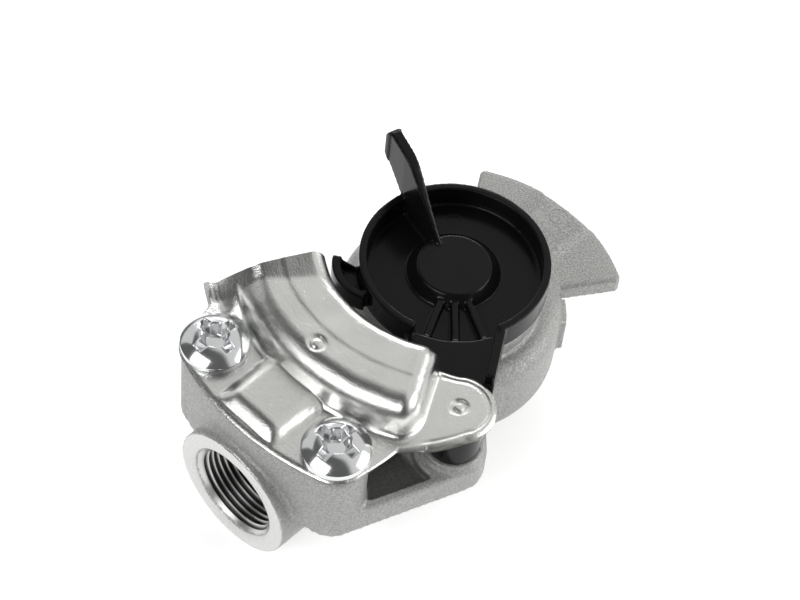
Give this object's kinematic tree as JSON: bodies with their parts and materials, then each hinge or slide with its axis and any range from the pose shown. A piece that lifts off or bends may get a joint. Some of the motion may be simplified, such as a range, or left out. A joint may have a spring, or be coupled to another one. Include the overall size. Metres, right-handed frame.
{
  "type": "gladhand air brake coupler",
  "caption": "Cast head with a threaded air port and locking lug, a pressed guide plate that locks the mating head, and a sprung swinging lid with a lever over the seal.",
  "frame": {"origin": "centre of the seal on the plane where the two coupling heads meet", "axes": "+Z out of the coupling face towards the mating head, +X from the air port to the locking lug, so the port faces -X"},
  "size_m": [0.1108, 0.0709, 0.0549],
  "materials": {
    "casting": "matte sand cast",
    "zinc_sheet": "bright zinc plated",
    "zinc_screw": "bright zinc plated",
    "black_plastic": "satin",
    "steel": "bright",
    "rubber": "matte"
  },
  "bodies": {
    "head": {"body": "casting", "guide_plate": "zinc_sheet", "screw_left": "zinc_screw", "screw_right": "zinc_screw", "pivot_pin": "steel", "lid_spring": "steel", "seal_ring": "rubber"},
    "lid": {"lid": "black_plastic"}
  },
  "joints": [
    {"name": "lid_swing", "type": "hinge", "parent": "head", "child": "lid", "pos_m": [-0.029, -0.0287, 0], "axis": [0, 0, -1], "range_deg": [0, 100], "stiffness_Nm_per_rad": 0.03, "springref_deg": -68.75, "deforming": ["lid_spring"]}
  ]
}
